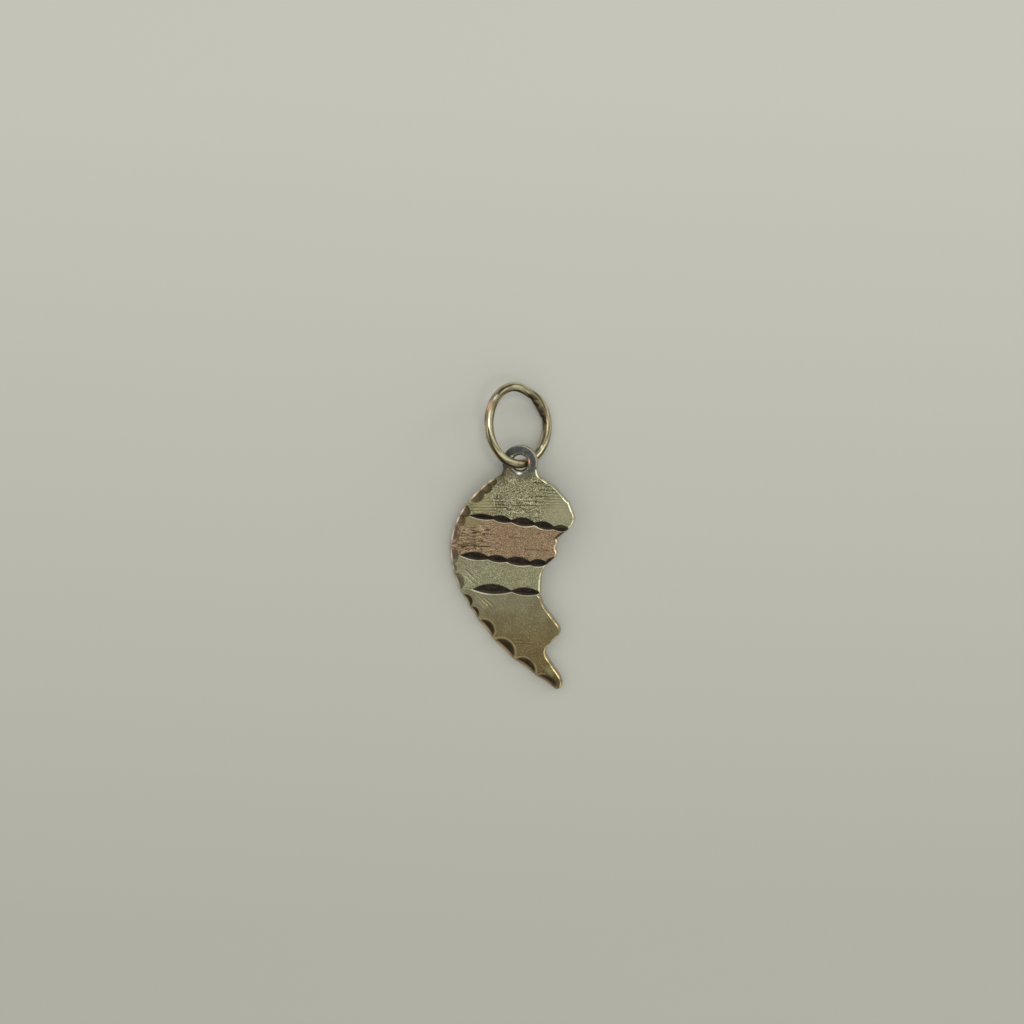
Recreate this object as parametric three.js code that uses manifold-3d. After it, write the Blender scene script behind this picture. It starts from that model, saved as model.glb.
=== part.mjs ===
import * as THREE from 'three';
import { mergeVertices } from 'three/addons/utils/BufferGeometryUtils.js';
import Module from 'manifold-3d';

// A half-heart pendant in four colours of gold, with its jump ring, in millimetres.
// It lies face up. +Z points up, and +Y runs from the point of the heart to the ring.
// The heart is drawn flat, with its origin in the middle of the hole for the ring.

const wasm = await Module();
wasm.setup();
const degrees = Math.PI / 180;

// Back plate, with the eye that the ring runs through
const backThickness = 0.55;
const backChamfer = 0.07;
const eyeRadius = 1.57;
const eyeChamfer = 0.1;
const neckInset = 0.07;
const neckTop = -0.3;

// Coloured panels, brazed to the back plate side by side
const panelThickness = 0.3;
const panelInset = 0.03;
const panelRounding = 0.15;
const eyeLand = 0.18;
const taperLength = 0.48;

// Boat-shaped cuts along the seams, made by a leaning wheel with a V-shaped rim
const cutIntoBack = 0.07;
const cutLean = 15;
const wheelThickness = 2.4;

// Scoops along the curved edge, made by a round-ended cutter
const scoopIntoBack = 0.12;

// Jump ring, bent from round wire, a little oval and flattened beside its soldered joint
const wireRadius = 0.4;
const ringRadius = 3.46;
const ringOvality = 0.066;
const ovalAngle = 51;
const flatDepth = 0.33;
const flatAngle = 63;
const flatSpread = 30;
const jointAngle = 22;
const jointGap = 0.09;
const solderInset = 0.15;
const solderHalfLength = 0.72;
const solderHalfWidth = 0.47;

// How it rests: the ring lies on its low side, tilted and turned a little, and holds up
// the eye, and the heart leans down from there to its curved edge
const ringTilt = 41.3;
const ringLean = 2.74;
const heartUphill = 41.47;
const wireOffset = 0.1;
const wireClearance = 0.045;

// The outline, counter-clockwise, from the neck's left side down to the point and up the
// broken edge. Each stretch is a smooth curve, and the corners lie between stretches.
const neckHalfWidth = eyeRadius - neckInset;
const curvedEdge = [
  [-neckHalfWidth, neckTop], [-neckHalfWidth - 0.06, -0.75], [-neckHalfWidth - 0.28, -1.08],
  [-2.86, -1.71], [-3.84, -2.58], [-4.73, -3.51], [-5.36, -4.44], [-5.85, -5.42],
  [-6.15, -6.35], [-6.31, -7.32], [-6.32, -8.31], [-6.02, -10.06], [-5.23, -11.92],
  [-3.97, -13.96], [-2.52, -15.81], [-1.53, -16.88], [-0.48, -17.77], [1.47, -19.17],
  [2.8, -20.1], [3.2, -20.32], [3.53, -20.15], [3.63, -19.72],
];
const lowerLobe = [
  [3.63, -19.72], [3.42, -19.14], [2.95, -18.45], [2.5, -17.77], [2.21, -17.29],
  [2.17, -16.8], [2.37, -16.39], [2.85, -15.89], [3.34, -15.4], [3.5, -15.05],
  [3.4, -14.61], [2.82, -13.84], [2.24, -13.07], [1.91, -12.48], [1.8, -12.04],
  [1.61, -11.85],
];
const hollowEdge = [
  [1.61, -11.85], [1.75, -11.5], [1.76, -10.92], [1.87, -9.95], [2.2, -9.25],
  [2.5, -8.9], [3.14, -8.37],
];
const roseEdge = [[3.14, -8.37], [3.28, -7.98], [3.15, -7.55], [3.34, -7.02], [3.25, -6.72]];
const shoulder = [
  [3.25, -6.72], [3.59, -6.43], [4.17, -5.99], [4.65, -5.45], [4.84, -4.87],
  [4.61, -4.2], [4.31, -3.53], [3.68, -2.77], [2.99, -2.05], [2.17, -1.5],
  [neckHalfWidth + 0.18, -1.14], [neckHalfWidth + 0.02, -0.75], [neckHalfWidth, neckTop],
];

// The three seams between the panels, from left to right, past both edges. A cut lies
// between each two points that are inside the outline.
const firstSeam = [
  [-7, -5.75], [-4.47, -4.81], [-2.31, -5.02], [-0.79, -5.27], [1.31, -5.51],
  [3, -5.85], [4.37, -5.95], [6, -6],
];
const secondSeam = [
  [-7, -8.4], [-5.32, -8.37], [-2.89, -8.61], [-1.23, -8.81], [0.88, -9.05],
  [2.31, -9.03], [3.02, -8.58], [6, -7.9],
];
const thirdSeam = [[-7, -11.55], [-4.28, -11.43], [-0.82, -11.56], [1.75, -11.69], [6, -11.8]];
const firstCutHalfWidths = [0.29, 0.29, 0.33, 0.32, 0.29];
const secondCutHalfWidths = [0.36, 0.29, 0.37, 0.31, 0.2];
const thirdCutHalfWidths = [0.42, 0.35];

// The scoops: a point near each on the curved edge, half its length, its reach inwards
const scoops = [
  { near: [-2.5, -1.8], halfLength: 0.46, reach: 0.56 },
  { near: [-3.2, -2.3], halfLength: 0.6, reach: 0.74 },
  { near: [-4, -3.1], halfLength: 0.76, reach: 0.8 },
  { near: [-5.05, -4.35], halfLength: 0.62, reach: 0.7 },
  { near: [-5.45, -5.15], halfLength: 0.5, reach: 0.62 },
  { near: [-5.95, -6.5], halfLength: 0.96, reach: 0.74 },
  { near: [-6.1, -8.25], halfLength: 0.86, reach: 0.76 },
  { near: [-6, -9.45], halfLength: 0.46, reach: 0.42 },
  { near: [-5.6, -10.55], halfLength: 0.84, reach: 0.74 },
  { near: [-4.8, -12.3], halfLength: 0.64, reach: 0.62 },
  { near: [-4.2, -13.4], halfLength: 0.56, reach: 0.54 },
  { near: [-3.1, -14.9], halfLength: 1, reach: 0.84 },
  { near: [-1.4, -16.6], halfLength: 1.24, reach: 0.98 },
  { near: [0.5, -17.95], halfLength: 1.16, reach: 0.84 },
  { near: [2.25, -19.6], halfLength: 1.06, reach: 0.68 },
];

function solidOf(geometry) {
  geometry.deleteAttribute('normal');
  geometry.deleteAttribute('uv');
  const merged = mergeVertices(geometry, 1e-5);
  return new wasm.Manifold(new wasm.Mesh({
    numProp: 3,
    vertProperties: new Float32Array(merged.attributes.position.array),
    triVerts: new Uint32Array(merged.index.array),
  }));
}

function geometryOf(solid) {
  const mesh = solid.getMesh();
  const geometry = new THREE.BufferGeometry();
  geometry.setAttribute('position', new THREE.BufferAttribute(mesh.vertProperties, 3));
  geometry.setIndex(new THREE.BufferAttribute(mesh.triVerts, 1));
  const faceted = geometry.toNonIndexed();
  faceted.computeVertexNormals();
  return faceted;
}

function smooth(points) {
  const curve = new THREE.SplineCurve(points.map(([x, y]) => new THREE.Vector2(x, y)));
  return curve.getPoints(2 * (points.length - 1));
}

// A plate with the given outline. Its edges are rounded in steps, and it can be inset.
function plate(points, bottom, top, { rounding = 0, steps = 1, inset = 0 } = {}) {
  const geometry = new THREE.ExtrudeGeometry(new THREE.Shape(points), {
    depth: top - bottom - 2 * rounding,
    bevelEnabled: rounding > 0,
    bevelThickness: rounding,
    bevelSize: rounding,
    bevelOffset: -rounding - inset,
    bevelSegments: steps,
  });
  geometry.translate(0, 0, bottom + rounding);
  return solidOf(geometry);
}

// A solid turned about the Z axis from a profile of radii and heights
function turned(profile, segments) {
  const points = profile.map(([radius, height]) => new THREE.Vector2(radius, height));
  return solidOf(new THREE.LatheGeometry(points, segments).rotateX(Math.PI / 2));
}

const curvedEdgePoints = smooth(curvedEdge);
const brokenEdgePoints = [lowerLobe, hollowEdge, roseEdge, shoulder].map(smooth);
const outline = [curvedEdgePoints, ...brokenEdgePoints].flatMap((stretch) => stretch.slice(0, -1));
outline.push(new THREE.Vector2(neckHalfWidth, neckTop));

const panelTop = backThickness + panelThickness;
const cutDepth = panelThickness + cutIntoBack;
const scoopDepth = panelThickness + scoopIntoBack;

// The ring's centre line in its own plane. It passes the origin where it is in the hole.
function ringPoint(angle) {
  const oval = ringOvality * Math.cos(2 * (angle - ovalAngle) * degrees);
  const flat = flatDepth * Math.exp(-(((angle - flatAngle) / flatSpread) ** 2));
  const radius = ringRadius + oval - flat;
  return new THREE.Vector3(
    radius * Math.cos(angle * degrees),
    radius * Math.sin(angle * degrees) + ringRadius,
    0,
  );
}

class RingLine extends THREE.Curve {
  getPoint(t, target = new THREE.Vector3()) {
    const halfGap = jointGap / 2 / ringRadius / degrees;
    const angle = jointAngle + halfGap + (360 - 2 * halfGap) * t;
    return target.copy(ringPoint(angle > flatAngle + 180 ? angle - 360 : angle));
  }
}

// Resting pose. The ring's low side and the heart's lowest edge are at one height.
const ringRotation = new THREE.Euler(0, ringTilt * degrees, ringLean * degrees, 'ZYX');
const ringReach = Math.max(...new RingLine().getPoints(180).map((point) => point.x));
const eyeHeight = ringReach * Math.sin(ringTilt * degrees) + wireRadius;
const uphill = new THREE.Vector2(1, 0).rotateAround(new THREE.Vector2(), heartUphill * degrees);
const heartReach = Math.max(...outline.map((point) => -point.dot(uphill))) - backChamfer;
const heartTilt = Math.asin(eyeHeight / Math.hypot(heartReach, backThickness / 2))
  - Math.atan(backThickness / 2 / heartReach);
const heartTurn = new THREE.Quaternion().setFromAxisAngle(
  new THREE.Vector3(uphill.y, -uphill.x, 0),
  heartTilt,
);

// The hole is as narrow as the slanting wire allows, and its rim is fully rounded
const rimRadius = backThickness / 2;
const heartNormal = new THREE.Vector3(0, 0, 1).applyQuaternion(heartTurn);
const wireDirection = new THREE.Vector3(-1, 0, 0).applyEuler(ringRotation);
const wireSlant = heartNormal.angleTo(wireDirection);
const holeRadius = (wireRadius + rimRadius + wireClearance) / Math.cos(wireSlant) - rimRadius;
const rimOuterRadius = holeRadius + rimRadius;

// A wheel whose V-shaped rim leaves a boat-shaped cut between two points. It leans away
// from the point of the heart, so the upper wall of the cut is wide and the lower steep.
function boatCut([x1, y1], [x2, y2], halfWidth) {
  const halfLength = Math.hypot(x2 - x1, y2 - y1) / 2;
  const sink = cutDepth / Math.cos(cutLean * degrees);
  const wheelRadius = (halfLength ** 2 + sink ** 2) / (2 * sink);
  const slope = halfWidth / cutDepth;
  const rimDepth = Math.min(0.95 * wheelRadius, wheelThickness / 2 / slope);
  const wheel = turned([
    [0, -rimDepth * slope],
    [wheelRadius - rimDepth, -rimDepth * slope],
    [wheelRadius, 0],
    [wheelRadius - rimDepth, rimDepth * slope],
    [0, rimDepth * slope],
  ], 72);
  return wheel
    .rotate([90, 0, 0])
    .translate([0, 0, wheelRadius - sink])
    .rotate([-cutLean, 0, 0])
    .rotate([0, 0, Math.atan2(y2 - y1, x2 - x1) / degrees])
    .translate([(x1 + x2) / 2, (y1 + y2) / 2, panelTop]);
}

function seamCuts(seam, halfWidths) {
  return halfWidths.map((halfWidth, i) => boatCut(seam[i + 1], seam[i + 2], halfWidth));
}

// A ball that leaves one scoop. Its centre is outside the edge and above the panels.
function scoopCut({ near, halfLength, reach }) {
  const point = new THREE.Vector2(...near);
  const distances = curvedEdgePoints.map((edge) => edge.distanceTo(point));
  const nearest = distances.indexOf(Math.min(...distances));
  const along = curvedEdgePoints[nearest + 1].clone().sub(curvedEdgePoints[nearest - 1]).normalize();
  const outward = new THREE.Vector2(along.y, -along.x);
  const toEdge = curvedEdgePoints[nearest].clone().sub(point).dot(outward);
  const circleRadius = (halfLength ** 2 + reach ** 2) / (2 * reach);
  const depth = Math.min(scoopDepth, 0.8 * halfLength);
  const rise = (halfLength ** 2 - depth ** 2) / (2 * depth);
  const centre = point.addScaledVector(outward, toEdge + circleRadius - reach);
  return solidOf(new THREE.SphereGeometry(Math.hypot(circleRadius, rise), 36, 24))
    .rotate([90, 0, 0])
    .translate([centre.x, centre.y, panelTop + rise]);
}

const cuts = [
  ...seamCuts(firstSeam, firstCutHalfWidths),
  ...seamCuts(secondSeam, secondCutHalfWidths),
  ...seamCuts(thirdSeam, thirdCutHalfWidths),
  ...scoops.map(scoopCut),
];

function cutAway(solid) {
  return cuts.reduce((rest, cut) => rest.subtract(cut), solid);
}

// Back plate: the half heart and the eye in one piece
function buildBackPlate() {
  const heart = plate(outline, 0, backThickness, { rounding: backChamfer });
  const eye = turned([
    [0, 0],
    [eyeRadius - eyeChamfer, 0],
    [eyeRadius, eyeChamfer],
    [eyeRadius, backThickness - eyeChamfer],
    [eyeRadius - eyeChamfer, backThickness],
    [0, backThickness],
  ], 64);
  const rimSteps = 8;
  const holeProfile = [[0, -rimRadius], [rimOuterRadius, -rimRadius]];
  for (let i = 0; i <= rimSteps; i += 1) {
    const angle = Math.PI * (i / rimSteps - 0.5);
    holeProfile.push([
      rimOuterRadius - rimRadius * Math.cos(angle),
      rimRadius + rimRadius * Math.sin(angle),
    ]);
  }
  holeProfile.push([rimOuterRadius, backThickness + rimRadius], [0, backThickness + rimRadius]);
  return cutAway(heart.add(eye).subtract(turned(holeProfile, 40)));
}

// Panels: one layer with rounded top edges, thinned towards the eye and parted at the seams
function buildPanelLayer() {
  const bottom = backThickness - 2 * panelRounding;
  const layer = plate(outline, bottom, panelTop, {
    rounding: panelRounding,
    steps: 2,
    inset: panelInset,
  });
  const sides = [[-10, 5], [-10, -25], [10, -25], [10, 5]];
  const room = plate(sides.map(([x, y]) => new THREE.Vector2(x, y)), backThickness, panelTop + 1);
  const taperStart = rimOuterRadius + eyeLand;
  const taper = turned([
    [0, 0],
    [taperStart, 0],
    [taperStart, backThickness],
    [taperStart + taperLength, panelTop],
    [taperStart + taperLength, panelTop + 1],
    [0, panelTop + 1],
  ], 64);
  return cutAway(layer.intersect(room).subtract(taper));
}

const panelLayer = buildPanelLayer();

function panelBetween(upperSeam, lowerSeam) {
  const area = [...lowerSeam, ...[...upperSeam].reverse()].map(([x, y]) => new THREE.Vector2(x, y));
  return panelLayer.intersect(plate(area, 0, panelTop + 1));
}

const aboveHeart = [[-7, 2], [6, 2]];
const belowHeart = [[-7, -22], [6, -22]];

function buildJumpRing() {
  const section = new THREE.Shape().absarc(0, 0, wireRadius, 0, 2 * Math.PI, false);
  return solidOf(new THREE.ExtrudeGeometry(section, {
    steps: 84,
    curveSegments: 9,
    extrudePath: new RingLine(),
  }));
}

// Solder: a lump on the inside of the ring that also fills the gap between the wire's ends
function buildSolder(jumpRing) {
  const joint = ringPoint(jointAngle);
  const inward = new THREE.Vector3(0, ringRadius, 0).sub(joint).normalize();
  const centre = joint.addScaledVector(inward, solderInset);
  return solidOf(new THREE.SphereGeometry(1, 28, 18))
    .scale([solderHalfWidth, solderHalfLength, solderHalfWidth])
    .rotate([0, 0, jointAngle])
    .translate([centre.x, centre.y, centre.z])
    .subtract(jumpRing);
}

function piece(name, solid, color, roughness) {
  const material = new THREE.MeshStandardMaterial({ color, roughness, metalness: 1 });
  const mesh = new THREE.Mesh(geometryOf(solid), material);
  mesh.name = name;
  return mesh;
}

const heart = new THREE.Group();
heart.name = 'half_heart';
heart.add(
  piece('back_plate', buildBackPlate(), 0x6c6e6c, 0.4),
  piece('upper_green_gold_panel', panelBetween(aboveHeart, firstSeam), 0xa9a678, 0.5),
  piece('rose_gold_panel', panelBetween(firstSeam, secondSeam), 0xb58e72, 0.5),
  piece('lower_green_gold_panel', panelBetween(secondSeam, thirdSeam), 0xa5a884, 0.5),
  piece('yellow_gold_panel', panelBetween(thirdSeam, belowHeart), 0xa08c58, 0.5),
);
for (const mesh of heart.children) {
  mesh.position.z = -backThickness / 2;
}
heart.quaternion.copy(heartTurn);

const jumpRing = buildJumpRing();
const ring = new THREE.Group();
ring.name = 'ring';
ring.add(
  piece('jump_ring', jumpRing, 0xb7b083, 0.25),
  piece('jump_ring_solder', buildSolder(jumpRing), 0x6f6248, 0.45),
);
ring.rotation.copy(ringRotation);
ring.position.y = -wireOffset;

// The lowest point is at z = 0, and the middle of the object's box is above the origin
const pendant = new THREE.Group();
pendant.name = 'half_heart_pendant';
pendant.add(heart, ring);
const box = new THREE.Box3().setFromObject(pendant, true);
const middle = box.getCenter(new THREE.Vector3());
pendant.position.set(-middle.x, -middle.y, -box.min.z);

export default pendant;
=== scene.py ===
import math

import bmesh
import bpy
import numpy as np
from mathutils import Matrix, Quaternion, Vector
from mathutils.geometry import delaunay_2d_cdt
from mathutils.kdtree import KDTree


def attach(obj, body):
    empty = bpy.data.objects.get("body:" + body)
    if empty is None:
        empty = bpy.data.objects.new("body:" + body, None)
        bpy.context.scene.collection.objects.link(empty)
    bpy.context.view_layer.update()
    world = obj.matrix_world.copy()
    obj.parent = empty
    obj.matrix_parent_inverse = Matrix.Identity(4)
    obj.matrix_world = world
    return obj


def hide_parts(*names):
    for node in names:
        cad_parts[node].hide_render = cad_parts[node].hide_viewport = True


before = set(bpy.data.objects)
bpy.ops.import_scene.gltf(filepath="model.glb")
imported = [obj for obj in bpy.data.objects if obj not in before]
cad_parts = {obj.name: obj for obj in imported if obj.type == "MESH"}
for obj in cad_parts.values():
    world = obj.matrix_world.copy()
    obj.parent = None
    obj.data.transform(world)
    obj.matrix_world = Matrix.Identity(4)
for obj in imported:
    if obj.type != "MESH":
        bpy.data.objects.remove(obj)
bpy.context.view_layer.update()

scene = bpy.context.scene

# The table and the light
# The pendant lies on a pale table top under a bright ceiling, with two small lamps nearly
# overhead and a broad one at the right, like a window. Near the table's level it is darker.


def seen(red, green, blue):
    """A colour by its look on a screen, from 0 to 255, as shader values."""
    parts = [value / 255 for value in (red, green, blue)]
    return (*[v / 12.92 if v < 0.04 else ((v + 0.055) / 1.055) ** 2.4 for v in parts], 1)


class Nodes:
    """A tree of nodes: a finish, the sky, or the rule by which the ring is bent.

    A name put into a socket stands for the mesh's own values of that name, and three
    numbers put into a colour socket for a colour by its look on a screen.
    """

    def __init__(self, tree):
        self.nodes, self.links = tree.nodes, tree.links

    def put(self, socket, value):
        if isinstance(value, str):
            value = self.add("Attribute", "Fac", attribute_name=value)
        if isinstance(value, bpy.types.NodeSocket):
            self.links.new(value, socket)
        elif value is not None:
            screen = socket.type == "RGBA" and len(value) == 3
            socket.default_value = seen(*value) if screen else value

    def add(self, kind, output=0, sockets=(), **settings):
        node = self.nodes.new(kind if "Node" in kind else "ShaderNode" + kind)
        for key, value in settings.items():
            setattr(node, key, value)
        for key, value in dict(sockets).items():
            self.put(node.inputs[key], value)
        return node.outputs[output]

    def math(self, operation, a, b=None):
        return self.add("Math", 0, {0: a, 1: b}, operation=operation)

    def distance(self, place, point):
        return self.add("VectorMath", "Value", {0: place, 1: point}, operation="DISTANCE")

    def evenly(self, value, low, high, most=1.0):
        return self.add("MapRange", 0, {0: value, 1: low, 2: high, 4: most})

    def ranged(self, value, low, high, new_low=0.0, new_high=1.0):
        sockets = {0: value, 1: low, 2: high, 3: new_low, 4: new_high}
        return self.add("MapRange", 0, sockets, interpolation_type="SMOOTHSTEP")

    def blended(self, share, a, b):
        return self.add("Mix", 0, {0: share, 2: a, 3: b}, data_type="FLOAT")

    def mixed(self, share, a, b):
        return self.add("Mix", 2, {0: share, 6: a, 7: b}, data_type="RGBA")

    def over(self, colour, tone, value, low, high, most=1.0):
        """A colour with a tone laid over it as a value goes from low to high."""
        return self.mixed(self.ranged(value, low, high, 0, most), colour, tone)

    def ramp(self, value, *stops, between="LINEAR"):
        """Colours in order, each with its place from 0 to 1 in front."""
        node = self.nodes.new("ShaderNodeValToRGB")
        node.color_ramp.interpolation = between
        ends = node.color_ramp.elements
        ends[0].position, ends[1].position = stops[0][0], stops[-1][0]
        for stop in stops[1:-1]:
            ends.new(stop[0])
        for end, (_, *colour) in zip(ends, stops):
            end.color = seen(*colour) if len(colour) == 3 else colour
        self.put(node.inputs[0], value)
        return node.outputs[0]

    def noise(self, vector, scale, detail=3.0, rough=0.5):
        sockets = {"Vector": vector, "Scale": scale, "Detail": detail, "Roughness": rough}
        return self.add("TexNoise", "Fac", sockets)


class Finish(Nodes):
    """The nodes of one finish, or of the room, which end in its shader."""

    def __init__(self, name, kind=bpy.data.materials, shader="Principled BSDF"):
        self.material = kind.new(name)
        self.material.use_nodes = True
        super().__init__(self.material.node_tree)
        self.shader = self.nodes[shader]

    def in_mm(self):
        place = self.add("TexCoord", "Object")
        return self.add("Mapping", 0, {"Vector": place, "Scale": (1000, 1000, 1000)})

    def on_plate(self, stretch=(1, 1, 1)):
        place = self.add("UVMap", uv_map="plate")
        return self.add("Mapping", 0, {"Vector": place, "Scale": stretch})

    def across_plate(self, axis):
        return self.add("SeparateXYZ", axis, {0: self.add("UVMap", uv_map="plate")})

    def bump(self, height, strength, depth_mm, normal=None):
        sockets = {"Height": height, "Strength": strength, "Distance": depth_mm / 1000}
        return self.add("Bump", 0, {**sockets, "Normal": normal})

    def surface(self, **sockets):
        for key, value in sockets.items():
            self.put(self.shader.inputs[key.replace("_", " ")], value)


def placed(name, data):
    """A new object, put into the scene."""
    made = bpy.data.objects.new(name, data)
    scene.collection.objects.link(made)
    return made


table_half = 1.5
table_drop = -1e-5
table_corners = [(-1, -1), (1, -1), (1, 1), (-1, 1)]
table_mesh = bpy.data.meshes.new("table_top")
table_mesh.from_pydata(
    [(table_half * x, table_half * y, table_drop) for x, y in table_corners], [], [(0, 1, 2, 3)])
table = placed("table_top", table_mesh)
laminate = Finish("pale_laminate")
on_table = laminate.add("TexCoord", "Object")
up_table = laminate.add("SeparateXYZ", "Y", {0: on_table})
# Painted shade: the table is darker towards the bottom
table_tone = laminate.mixed(
    laminate.evenly(up_table, -0.035, 0.04), (170, 170, 162), (190, 190, 181))
# A painted pool of light on the table, seen through the hole in the eye where its shade falls
light_pool_place, light_pool_edge, light_pool_middle = (0.0007, 0.00664, 0), 0.0013, 0.0007
from_light_pool = laminate.distance(on_table, light_pool_place)
table_tone = laminate.over(table_tone, (238, 236, 230), from_light_pool, light_pool_edge, light_pool_middle)
laminate.surface(Base_Color=table_tone, Roughness=0.6, Specular_IOR_Level=0.2)
table_mesh.materials.append(laminate.material)


def light_panel(name, width, height, watts, place, colour):
    """A flat lamp that faces the pendant."""
    data = bpy.data.lights.new(name, "AREA")
    data.shape = "RECTANGLE"
    data.size = width
    data.size_y = height
    data.energy = watts
    data.color = colour
    lamp = placed(name, data)
    lamp.location = place
    lamp.rotation_mode = "QUATERNION"
    lamp.rotation_quaternion = (-Vector(place)).to_track_quat("-Z", "Y")


light_panel("ceiling_panel", 0.15, 0.15, 1.5, (0.10, 0.12, 1.0), (1, 0.99, 0.95))
light_panel("second_panel", 0.10, 0.16, 0.6, (0.17, -0.30, 0.95), (1, 0.99, 0.95))
light_panel("window_side", 0.30, 0.50, 1.6, (0.95, 0.45, 0.55), (0.97, 0.99, 1))

room = Finish("pale_room", bpy.data.worlds, "Background")
scene.world = room.material
direction = room.add("TexCoord", "Generated")
walls = room.ramp(
    room.add("SeparateXYZ", "Z", {0: direction}), (0.0, 0.10, 0.095, 0.085, 1),
    (0.36, 0.16, 0.16, 0.1552, 1), (0.52, 0.78, 0.78, 0.7566, 1),
    (0.8, 0.95, 0.95, 0.9215, 1), (1.0, 1.0, 1.0, 0.97, 1), between="EASE")
bright_side = room.evenly(room.add("SeparateXYZ", "X", {0: direction}), 0.35, 0.85, 0.75)
room.surface(Color=room.mixed(bright_side, walls, (1.0, 0.99, 0.95, 1)), Strength=1.0)
scene.view_settings.view_transform = "Standard"

# The view: straight down, from as high as a telephone is held
camera_data = bpy.data.cameras.new("view_from_above")
camera_data.sensor_width = 36
half_view = math.radians(17.08)
camera_data.lens = camera_data.sensor_width / 2 / math.tan(half_view)
camera_data.clip_start = 0.01
camera_data.clip_end = 10
camera = placed("view_from_above", camera_data)
view_height = 0.150
camera.location = (-0.000049, 0.0021857, view_height)
scene.camera = camera

# The back plate
# The half heart's back and the eye are one stamped piece of grey base metal. It shows as
# the eye, as the thin outer ledge beside the scoops, and from behind. All of it darkens.

back_thickness = 0.55
back_rounding = 0.08
eye_radius = 1.57
neck_half_width = 1.5
neck_top = -0.3
hole_radius = 0.6701
panel_thickness = 0.3
panel_top = back_thickness + panel_thickness

# How the heart lies: up from its curved edge towards the ring, which holds up the eye
hole_centre = np.array([0.6832404, 6.5611709, 2.6727399])
uphill = math.radians(41.47)
heart_turn = Quaternion((math.sin(uphill), -math.cos(uphill), 0), math.radians(11.2733321))
heart_matrix = np.array(heart_turn.to_matrix())


def laid_down(points):
    """Points of the plate, in millimetres, where they lie on the table, in metres."""
    lifted = np.array(points, float) - [0, 0, back_thickness / 2]
    return (lifted @ heart_matrix.T + hole_centre) / 1000


# The outline in the plane of the plate, in millimetres from the middle of the hole
curved_edge = [
    (-neck_half_width, neck_top), (-1.56, -0.75), (-1.78, -1.08), (-2.86, -1.71),
    (-3.84, -2.58), (-4.73, -3.51), (-5.36, -4.44), (-5.85, -5.42), (-6.15, -6.35),
    (-6.31, -7.32), (-6.32, -8.31), (-6.02, -10.06), (-5.23, -11.92), (-3.97, -13.96),
    (-2.52, -15.81), (-1.53, -16.88), (-0.48, -17.77), (1.47, -19.17), (2.8, -20.1),
    (3.2, -20.32), (3.53, -20.15), (3.63, -19.72),
]
lower_lobe = [
    (3.63, -19.72), (3.42, -19.14), (2.95, -18.45), (2.5, -17.77), (2.21, -17.29),
    (2.17, -16.8), (2.37, -16.39), (2.85, -15.89), (3.34, -15.4), (3.5, -15.05),
    (3.4, -14.61), (2.82, -13.84), (2.24, -13.07), (1.91, -12.48), (1.8, -12.04),
    (1.61, -11.85),
]
hollow_edge = [
    (1.61, -11.85), (1.75, -11.5), (1.76, -10.92), (1.87, -9.95), (2.2, -9.25),
    (2.5, -8.9), (3.14, -8.37),
]
rose_edge = [(3.14, -8.37), (3.28, -7.98), (3.15, -7.55), (3.34, -7.02), (3.25, -6.72)]
shoulder = [
    (3.25, -6.72), (3.59, -6.43), (4.17, -5.99), (4.65, -5.45), (4.84, -4.87),
    (4.63, -4.2), (4.45, -3.72), (4.36, -3.45), (4.1, -3.26), (3.68, -2.77), (2.99, -2.05),
    (2.17, -1.5), (1.68, -1.14), (1.52, -0.75), (neck_half_width, neck_top),
]


def smooth_line(points, steps):
    """A curve through the points, with some steps between each two."""
    ends = np.array(points, float)
    last = len(ends) - 1
    line = []
    for i in range(last):
        a, b = ends[max(i - 1, 0)], ends[i]
        c, d = ends[i + 1], ends[min(i + 2, last)]
        out, into = (c - a) / 2, (d - b) / 2
        for t in np.arange(steps) / steps:
            line.append(
                (2 * b - 2 * c + out + into) * t**3
                + (3 * c - 3 * b - 2 * out - into) * t**2 + out * t + b
            )
    return np.array(line + [ends[-1]])


def even_line(line, spacing):
    """The same line with its points evenly spaced."""
    lengths = np.concatenate([[0], np.cumsum(np.hypot(*np.diff(line, axis=0).T))])
    count = max(2, int(round(lengths[-1] / spacing)))
    wanted = np.linspace(0, lengths[-1], count + 1)
    return np.stack([np.interp(wanted, lengths, line[:, k]) for k in (0, 1)], axis=1)


curved_line = smooth_line(curved_edge, 12)
broken_lines = [smooth_line(part, 12) for part in (lower_lobe, hollow_edge, rose_edge, shoulder)]
lowest = int(np.argmin(curved_line[:, 1]))
left_line = curved_line[: lowest + 1]
right_line = np.vstack([curved_line[lowest:]] + [line[1:] for line in broken_lines])

# The seams between the panels, from left to right, and how wide each cut on them is
first_seam = [
    (-7, -5.75), (-4.47, -4.81), (-2.31, -5.02), (-0.79, -5.27), (1.31, -5.51),
    (3, -5.85), (4.37, -5.95), (6, -6),
]
second_seam = [
    (-7, -8.4), (-5.32, -8.37), (-2.89, -8.61), (-1.23, -8.81), (0.88, -9.05),
    (2.31, -9.03), (3.02, -8.58), (6, -7.9),
]
third_seam = [(-7, -11.55), (-4.28, -11.43), (-0.82, -11.56), (1.75, -11.69), (6, -11.8)]
cut_rows = [
    (first_seam, (0.22, 0.28, 0.33, 0.3, 0.24), (0, 0.2, 0.04, 0.1, 0.08, 0)),
    (second_seam, (0.3, 0.27, 0.33, 0.29, 0.2), (0, 0.16, 0.16, 0.18, 0.1, 0)),
    (third_seam, (0.38, 0.31), (0, 0.03, 0)),
]
cut_depth = panel_thickness + 0.07
cut_lean = math.radians(15)
cut_overrun = 0.17
cut_raise = 0.1
cut_widening = 0.03
cut_sink = cut_depth / math.cos(cut_lean)
# The height above the metal that stands for no cut at all
no_cut = 9.0


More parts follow.
